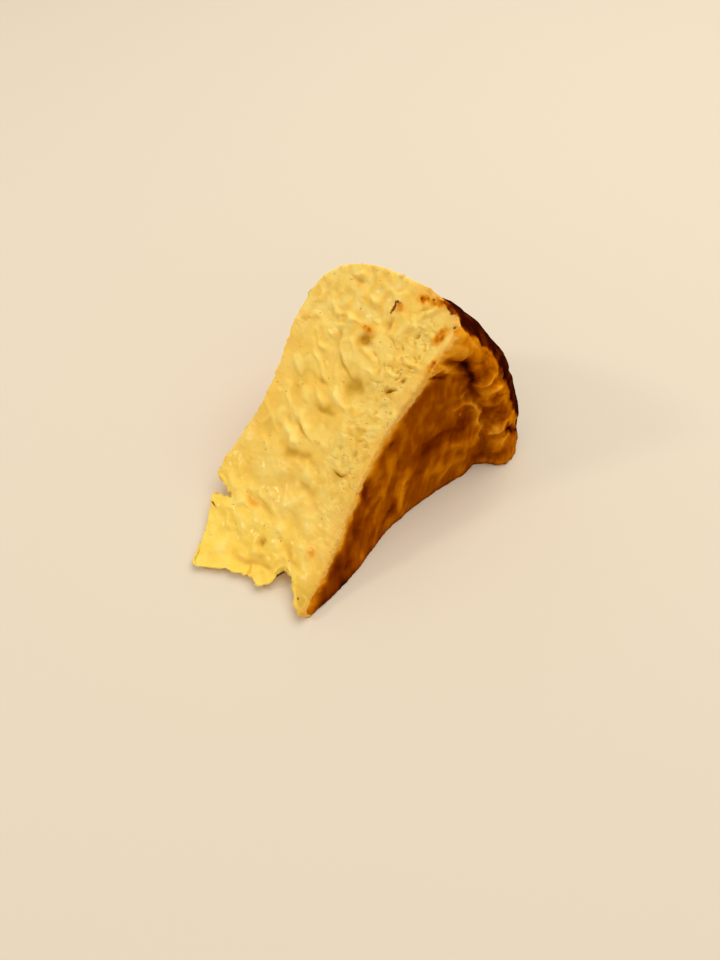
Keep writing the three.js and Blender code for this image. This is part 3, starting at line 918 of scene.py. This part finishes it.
# These olive strokes mostly lie along the hollows, cracks and pits, where they paint their shade.
OLIVE_AND_SHADE = [
    ([(96.8, 39.3), (96.1, 45.3)], 1.3, 0.35),
    ([(81.7, 31.6), (83.0, 30.2), (84.4, 28.8)], 1.9, 1.5),
    ([(69.2, 24.2), (70.2, 26.4)], 2.2, 0.55),
    ([(67, 27.5), (69, 28)], 1.6, 0.3),
    ([(72.4, 15), (74.9, 13.7), (76.8, 11.4)], 1.1, 0.75),
    ([(79.2, 11.3), (81.5, 9.6)], 0.9, 0.7),
    ([(5.2, 28.2), (6.7, 27.2)], 1.4, 0.9),
    ([(41.5, 29.3), (38.7, 33.3), (36.8, 38)], 1.2, 0.3),
    ([(57.4, 28.5), (56.6, 31.5), (55, 35.3)], 0.9, 0.45),
    ([(16, 31.3), (16.9, 36.8)], 1.3, 0.25),
    ([(71.0, 30.2), (72.3, 34), (74.0, 36.6)], 0.6, 0.7),
    ([(43.2, 18.8), (43.4, 15), (45, 13.3)], 1.2, 0.6),
    ([(89, 24), (92, 24.2), (94, 24.7)], 0.9, 0.5),
    ([(9.4, 11.5), (10.5, 15.5), (11.8, 19.3)], 1.5, 0.4),
    ([(1.4, 20), (0.3, 23.5), (-3, 28.5), (-4.2, 33.5)], 1.1, 0.45),
    ([(75, 57.4), (76.6, 55.2)], 0.9, 0.5),
]
WET = [
    ([(29.6, 34.6), (31, 36.2)], 1.8, 1.2),
    ([(21.9, 35.4), (22.5, 32.3)], 2.0, 1.2),
    ([(22.4, 28.4), (23.2, 28)], 1.6, 1.0),
    ([(3.2, 36.4), (3.8, 35)], 2.4, 1.1),
    ([(-8.4, 37), (-7.6, 36.2)], 1.8, 1.0),
    ([(-0.4, 25.8), (0.6, 25)], 1.8, 1.0),
    ([(48.6, 40), (49.3, 43)], 1.0, 0.7),
]
print(len(CARAMEL), "stains,", len(FLAKES), "flakes,", len(OLIVE_AND_SHADE), "olive strokes,", len(WET), "wet")

# %% Lay them on the curd
caramel = np.clip(together(ridge, r, depth, CARAMEL), 0, 1) * on_cut
caramel *= 0.85 + 0.3 * lumps(flat_place, 1.2, 41)
flakes = np.clip(together(ridge, r, depth, FLAKES) + 0.25 * lumps(flat_place, 0.6, 42), 0, 1) * on_cut
olive = np.clip(together(ridge, r, depth, OLIVE_AND_SHADE), 0, 1) * on_cut
# Cracks and openings are tinted olive by their depth: painted shade.
olive += (0.55 * ease(-crack_height, 0.2, 0.9) + 0.32 * openings) * on_cut
wet = np.clip(together(ridge, r, depth, WET), 0, 1) * on_cut + 0.35 * ease(r, 22, 4) * (on_cut + on_torn)
wet += (0.25 * creamy * (1 - ease(r, 22, 4)) + 0.35 * crest**2 * (1 - crumbly)) * on_cut
grain = np.clip(crumbly + 0.6 * firm + 0.35 * pulled + 0.6 * on_torn, 0, 1)
print("wet:", int((wet > 0.5).sum()), "points, olive:", int((olive > 0.5).sum()), "points")

# %% Keep them with the mesh
MOST_BELOW = 20      # mm


def keep(mesh, name, values, kind="FLOAT"):
    """Stores one value for each point of the mesh, for its material to read."""
    made = mesh.attributes.new(name, kind, "POINT")
    made.data.foreach_set("value" if kind == "FLOAT" else "vector", np.ravel(values).astype(np.float32))


below_skin = np.minimum(from_top, from_wall + 9 * ease(depth, 20, 27))
kept = {
    "brown": brown,
    "char": char,
    "below_skin": np.minimum(below_skin, MOST_BELOW),
    "caramel": np.clip(caramel, 0, 1),
    "flakes": flakes,
    "olive": np.clip(olive, 0, 1),
    "hollow": hollow * on_cut,
    "crest": crest * on_cut,
    "tip": ease(r, 30, 4) * (on_cut + on_torn),
    "wet": np.clip(wet, 0, 1),
    "crumbly": grain,
}
for name, values in kept.items():
    keep(body.data, name, values)
keep(body.data, "skin_place", skin_place, "FLOAT_VECTOR")
print("attributes:", [made.name for made in body.data.attributes if not made.is_internal])

# %% [markdown]
# ## Shader maths as Python
#
# Materials are built from nodes, and long sums of Math nodes are hard to read as calls. The class
# below wraps one output of a node, so that a sum on it, such as 1 - mask * 0.5, adds the Math
# nodes. A second class holds the material's tree, and its method node adds any other node.

# %% A wrapped socket
class Value:
    """An output socket of a material's node, with arithmetic."""

    def __init__(self, finish, socket):
        self.finish = finish
        self.socket = socket

    def math(self, operation, *values):
        return self.finish.node("ShaderNodeMath", {"operation": operation}, values)

    def __add__(self, other):
        return self.math("ADD", self, other)

    def __sub__(self, other):
        return self.math("SUBTRACT", self, other)

    def __rsub__(self, other):
        return self.math("SUBTRACT", other, self)

    def __mul__(self, other):
        return self.math("MULTIPLY", self, other)

    __radd__ = __add__
    __rmul__ = __mul__

    def eased(self, low, high):
        """0 below low, 1 above high, smooth between. It falls if high is the lower."""
        settings = {"interpolation_type": "SMOOTHSTEP"}
        if low < high:
            return self.finish.node("ShaderNodeMapRange", settings, {0: self, 1: low, 2: high})
        return 1 - self.eased(high, low)


# %% A material's tree
class Finish:
    """A material and its nodes."""

    def __init__(self, name, **settings):
        self.material = bpy.data.materials.new(name)
        self.material.use_nodes = True
        self.tree = self.material.node_tree
        self.shader = self.tree.nodes["Principled BSDF"]
        for socket, value in settings.items():
            self.shader.inputs[socket.replace("_", " ")].default_value = value

    def node(self, kind, settings, inputs, output=0):
        """Adds a node: its settings first, then values or links for its sockets."""
        made = self.tree.nodes.new(kind)
        for name, value in settings.items():
            if name == "stops":
                self.set_stops(made.color_ramp, value)
            else:
                setattr(made, name, value)
        pairs = inputs.items() if isinstance(inputs, dict) else enumerate(inputs)
        for key, value in pairs:
            if isinstance(value, Value):
                self.tree.links.new(value.socket, made.inputs[key])
            else:
                made.inputs[key].default_value = value
        return Value(self, made.outputs[output])

    @staticmethod
    def set_stops(ramp, stops):
        while len(ramp.elements) < len(stops):
            ramp.elements.new(0.5)
        for element, (position, colour) in zip(ramp.elements, stops):
            element.position = position
            element.color = colour

    def attribute(self, name, output="Fac"):
        return self.node("ShaderNodeAttribute", {"attribute_name": name}, {}, output)

    def place(self):
        """The point's place on the object, in metres."""
        return self.node("ShaderNodeTexCoord", {}, {}, "Object")

    def noise(self, place, size, detail=2.0, roughness=0.5):
        """Chance values around 0.5, in patches of a size in the units of place."""
        inputs = {"Vector": place, "Scale": 1 / size, "Detail": detail, "Roughness": roughness}
        return self.node("ShaderNodeTexNoise", {}, inputs, "Fac")

    def stretched(self, place, factors):
        return self.node("ShaderNodeMapping", {}, {"Vector": place, "Scale": factors})

    def mix(self, share, first, second):
        """A colour between two others."""
        settings = {"data_type": "RGBA"}
        return self.node("ShaderNodeMix", settings, {0: share, 6: first, 7: second}, 2)

    def ramp(self, share, stops):
        return self.node("ShaderNodeValToRGB", {"stops": stops}, {"Fac": share}, "Color")

    def bump(self, height, depth, below=None):
        """Fine relief, with depth in metres for each unit of height."""
        inputs = {"Height": height, "Distance": depth, "Strength": 1.0}
        if below is not None:
            inputs["Normal"] = below
        return self.node("ShaderNodeBump", {}, inputs)

    def connect(self, **links):
        for socket, value in links.items():
            self.tree.links.new(value.socket, self.shader.inputs[socket.replace("_", " ")])


# %% Screen colours
def colour(red, green, blue):
    """A screen colour, 0 to 255, as the linear values that shaders use."""
    shares = [c / 255 for c in (red, green, blue)]
    return (*[c / 12.92 if c < 0.04 else ((c + 0.055) / 1.055) ** 2.4 for c in shares], 1.0)


print("half of a screen's brightest is", round(colour(128, 128, 128)[0], 2), "of its light")

# %% [markdown]
# ## The material of the slice
#
# Curd is milk fat and protein, so light goes a little way into it and comes out softer and
# yellower: that is subsurface scattering, with red light going furthest. The browned skin is a
# ramp from amber to nearly black, with streaks that run slantwise as the wrinkles do. The shader's
# base reflection is off, because at a flat angle it would lay a grey veil on the dark skin. Gloss
# comes from a clear coat instead: strong where the curd is wet, and in sparse oily glints on the
# skin.

# %% Colours
# The palest curd, for chance patches and as painted light on the crests
CURD_LIGHT_AND_HIGHLIGHT = colour(255, 223, 130)
CURD_YELLOW = colour(254, 207, 97)
CURD_TIP = colour(255, 214, 94)
# Deeper yellow, for chance mottling and as painted shade in the hollows
CURD_DEEP_AND_SHADE = colour(219, 180, 68)
CURD_PEACH = colour(240, 192, 98)
EDGE_AMBER = colour(222, 148, 44)
# Olive, laid mostly as painted shade in pits, cracks and hollows
PIT_OLIVE_AND_SHADE = colour(190, 134, 0)
CARAMEL_LIGHT = colour(234, 164, 44)
CARAMEL_DARK = colour(192, 104, 2)
FLAKE_BROWN = colour(136, 62, 2)
SKIN_STOPS = [
    (0.00, colour(236, 160, 36)),
    (0.20, colour(208, 122, 4)),
    (0.46, colour(154, 75, 0)),
    (0.72, colour(118, 44, 0)),
    (1.00, colour(46, 8, 0)),
]
print("the skin's ramp has", len(SKIN_STOPS), "stops")

# %% What the finish reads
body_finish = Finish(
    "baked_curd_and_skin",
    Subsurface_Weight=0.6,
    Subsurface_Radius=(1.0, 0.72, 0.30),
    Subsurface_Scale=1.8 * MM,
    Specular_IOR_Level=0.0,
    IOR=1.42,
    Coat_Roughness=0.20,
)
spot = body_finish.place()
skin_spot = body_finish.attribute("skin_place", "Vector")
brown_share = body_finish.attribute("brown")
crumbly_share = body_finish.attribute("crumbly")
wet_share = body_finish.attribute("wet")
below = body_finish.attribute("below_skin")

patches = body_finish.noise(spot, 14 * MM, 2.0)
mottle = body_finish.noise(spot, 1.6 * MM, 3.0, 0.6)
pores = body_finish.noise(spot, 0.5 * MM, 2.0, 0.6)
streaks = body_finish.noise(body_finish.stretched(skin_spot, (0.22, 1.0, 1.0)), 1.6, 2.5, 0.5)
blotches = body_finish.noise(body_finish.stretched(skin_spot, (0.6, 1.0, 1.0)), 5.0, 3.0, 0.55)
specks = body_finish.noise(skin_spot, 0.7, 3.0, 0.6)
print(len(body_finish.tree.nodes), "nodes so far")

# %% Colour of the curd
# Each layer is how much of it shows and its colour, and it lies over those before it
caramel_share = body_finish.attribute("caramel") * (0.75 + 0.5 * mottle)
flake_share = body_finish.attribute("flakes") * (0.5 + pores)
CURD_LAYERS = [
    (patches.eased(0.35, 0.75) * 0.7, CURD_LIGHT_AND_HIGHLIGHT),
    (body_finish.attribute("tip"), CURD_TIP),
    (below.eased(6.0, 0.8) * 0.45, CURD_PEACH),
    (below.eased(0.9, 0.0) * (0.1 + mottle * 0.7), EDGE_AMBER),
    # Painted light: the crests of the relief are coloured paler
    (body_finish.attribute("crest") * 0.85, CURD_LIGHT_AND_HIGHLIGHT),
    # Painted shade: the hollows of the relief are coloured deeper yellow
    (body_finish.attribute("hollow") * 0.75, CURD_DEEP_AND_SHADE),
    (mottle.eased(0.55, 0.8) * 0.18, CURD_DEEP_AND_SHADE),
    # Mostly painted shade: olive in pits, cracks and hollows
    (body_finish.attribute("olive") * 0.95, PIT_OLIVE_AND_SHADE),
    (caramel_share.eased(0.0, 0.6), CARAMEL_LIGHT),
    (caramel_share.eased(0.45, 1.1), CARAMEL_DARK),
    (flake_share.eased(0.25, 0.85), FLAKE_BROWN),
]
curd = CURD_YELLOW
for shown, layer in CURD_LAYERS:
    curd = body_finish.mix(shown, curd, layer)
print(len(CURD_LAYERS), "layers of curd")

# %% Colour of the skin, and where it shows
# The skin's darkness carries painted shade in its creases and pocket, and painted light on its crests,
# over its own browning.
char_and_shade_share = body_finish.attribute("char") + (streaks - 0.5) * 0.19
char_and_shade_share = char_and_shade_share + (blotches - 0.5) * 0.28 + (specks - 0.5) * 0.08
skin = body_finish.ramp(char_and_shade_share, SKIN_STOPS)
brown_edge = (brown_share + (mottle - 0.5) * 0.5 + (pores - 0.5) * 0.3).eased(0.25, 0.75)
surface = body_finish.mix(brown_edge, curd, skin)
print(len(body_finish.tree.nodes), "nodes with the colours")

# %% Gloss and fine relief
curd_gloss = 0.50 - wet_share * 0.30 + (mottle - 0.5) * 0.2
skin_gloss = 0.36 + (specks - 0.5) * 0.3 + (streaks - 0.5) * 0.2
roughness = curd_gloss * (1 - brown_edge) + skin_gloss * brown_edge
oily = brown_edge * specks.eased(0.67, 0.74) * 0.22
coat = (0.03 + wet_share * 0.85) * (1 - brown_edge) + oily
fine = (pores - 0.5) * (0.1 + crumbly_share * 0.6) * (1 - brown_edge)
relief = body_finish.bump(fine, 0.35 * MM)
relief = body_finish.bump(specks * brown_edge * char_and_shade_share.eased(0.5, 0.1), 0.25 * MM, relief)
relief = body_finish.bump((mottle - 0.5) * (1 - brown_edge), 0.22 * MM, relief)
body_finish.connect(Base_Color=surface, Roughness=roughness, Coat_Weight=coat, Normal=relief)
body.data.materials.clear()
body.data.materials.append(body_finish.material)
body.data.polygons.foreach_set("use_smooth", [True] * len(body.data.polygons))
print(body_finish.material.name, "has", len(body_finish.tree.nodes), "nodes")

# %% Floor finish
FLOOR_PALE = colour(226, 216, 202)

floor_finish = Finish("pale_floor", Base_Color=FLOOR_PALE, Roughness=0.75)
floor.data.materials.append(floor_finish.material)
print("the floor's colour is", [round(share, 2) for share in FLOOR_PALE[:3]])

# %% [markdown]
# ## Seeds and crumbs
#
# The cream was flavoured with vanilla, and its tiny seeds show as dark dots all through the cut.
# Where the knife pulled, crumbs of curd came loose and stuck again, mostly near the browned top
# and along the edges. Each kind is one mesh of small closed grains, partly sunk in the surface,
# so that they stay real shapes in an exported model.

# %% Put grains on the cut face
RAY_START = 8        # mm above the plain cut face
RAY_REACH = 11

sculpted_tree = BVHTree.FromPolygons(
    [Vector(corner) for corner in (sculpted * MM).tolist()],
    [face.vertices[:] for face in body.data.polygons],
)
chance = np.random.default_rng(7)


def on_surface(r, depth):
    """The sculpted surface's point and normal over a place on the cut face, in metres."""
    plain = place(r, depth, 1.0)
    start = Vector((plain + CUT_NORMAL * RAY_START) * MM)
    hit, normal, _, _ = sculpted_tree.ray_cast(start, Vector(-CUT_NORMAL), RAY_REACH * MM)
    if hit is None:
        hit, normal, _, _ = sculpted_tree.find_nearest(Vector(plain * MM))
    return hit, normal


def grain_matrix(spot, normal, sizes, sunk):
    """Turns, stretches and sinks one grain: sizes are its half-axes in mm."""
    turned = normal.to_track_quat("Z", "Y").to_matrix().to_4x4()
    spin = Euler((chance.uniform(-0.5, 0.5), chance.uniform(-0.5, 0.5), chance.uniform(0, 6.3)))
    stretch = Matrix.Diagonal(Vector((*[side * MM for side in sizes], 1.0)))
    return Matrix.Translation(spot - normal * sunk * MM) @ turned @ spin.to_matrix().to_4x4() @ stretch


print("the middle of the cut stands at", [round(side / MM, 1) for side in on_surface(55, 30)[0]])

# %% Vanilla seeds
# Those that are plain to see are set by (r, depth), and the others by chance
SEEN_SEEDS = [
    (90, 37), (84.5, 42.5), (80.5, 51.5), (61.5, 40.5), (76, 14.5), (82.5, 55.5), (85, 8.5),
    (82.5, 13), (52.5, 55.5), (58, 45.5), (44.5, 35), (46.5, 30), (32, 46.5), (27, 45.5),
    (62.5, 15.5), (70, 9.5), (3.5, 40.5), (12, 22), (36, 14), (31, 5.5), (22.5, 4.5),
    (21.5, 37.5), (21, 33.5), (-6, 44.5), (-13, 48.5),
]
FURTHER_SEEDS = 34
FURTHER_R = (8, 103)
FURTHER_DEPTH = (6, 54)
SEED_SIZE = (0.13, 0.22)         # the smallest and largest half-size, in mm
SEED_SHAPE = (1.3, 1.0, 0.8)
SEED_SUNK = 0.25
SEED_BROWN = colour(98, 62, 16)

seed_places = list(SEEN_SEEDS)
for _ in range(FURTHER_SEEDS):
    seed_places.append((chance.uniform(*FURTHER_R), chance.uniform(*FURTHER_DEPTH)))
bm = bmesh.new()
for seed_r, seed_depth in seed_places:
    hit, normal = on_surface(seed_r, seed_depth)
    size = chance.uniform(*SEED_SIZE)
    sizes = [size * share for share in SEED_SHAPE]
    matrix = grain_matrix(hit, normal, sizes, size * SEED_SUNK)
    bmesh.ops.create_icosphere(bm, subdivisions=1, radius=1.0, matrix=matrix)
seeds = piece_from(bm, "vanilla_seeds")
seed_finish = Finish("vanilla_seed_brown", Base_Color=SEED_BROWN, Roughness=0.6)
seeds.data.materials.append(seed_finish.material)
print(len(seed_places), "seeds,", len(seeds.data.polygons), "faces")

# %% Crumbs of curd
# Each is (r, depth) and its half-size in mm
EDGE_CRUMBS = [
    (106.2, 27.2, 1.1), (103.2, 37.0, 0.8), (104.6, 32.5, 0.5), (94.0, 52.5, 0.7),
    (92.5, 12.7, 0.8), (97.5, 12.0, 0.7), (84.8, 8.9, 0.7), (96.0, 45.5, 0.8),
]
STRIP_CRUMBS = 44
STRIP_R = (36, 100)
STRIP_DEPTH = (7, 22)
STRIP_CRUMB_SIZE = (0.3, 0.7)
CRUMB_STRETCH = (0.75, 1.3)
CRUMB_SUNK = 0.6
CRUMB_ROUGHNESS = 0.55
CRUMB_LUMP = 0.9     # the size of its own lumps, as a share of its size
CRUMB_YELLOW = colour(250, 206, 108)

crumb_places = list(EDGE_CRUMBS)
for _ in range(STRIP_CRUMBS):
    crumb_place = chance.uniform(*STRIP_R), chance.uniform(*STRIP_DEPTH)
    crumb_places.append((*crumb_place, chance.uniform(*STRIP_CRUMB_SIZE)))
bm = bmesh.new()
for crumb_r, crumb_depth, size in crumb_places:
    hit, normal = on_surface(crumb_r, crumb_depth)
    sizes = size * chance.uniform(*CRUMB_STRETCH, 3)
    matrix = grain_matrix(hit, normal, sizes, size * CRUMB_SUNK)
    made = bmesh.ops.create_icosphere(bm, subdivisions=2, radius=1.0, matrix=matrix)["verts"]
    for vertex in made:
        rough = noise.noise(vertex.co / (size * CRUMB_LUMP * MM))
        vertex.co += (vertex.co - matrix.translation) * CRUMB_ROUGHNESS * rough
crumbs = piece_from(bm, "curd_crumbs")
crumb_finish = Finish(
    "crumb_curd",
    Base_Color=CRUMB_YELLOW,
    Subsurface_Weight=0.5,
    Subsurface_Radius=(1.0, 0.62, 0.22),
    Subsurface_Scale=0.8 * MM,
    Roughness=0.55,
)
crumbs.data.materials.append(crumb_finish.material)
print(len(crumb_places), "crumbs,", len(crumbs.data.polygons), "faces")

# %% [markdown]
# ## Hand the pieces to the frame
#
# The body stands for the plain solid, and the seeds and crumbs ride with it.

# %% Finish
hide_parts("cheesecake_slice")
for piece, slot in ((body, "curd"), (crumbs, "curd"), (seeds, "vanilla_seed")):
    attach(piece, "root")
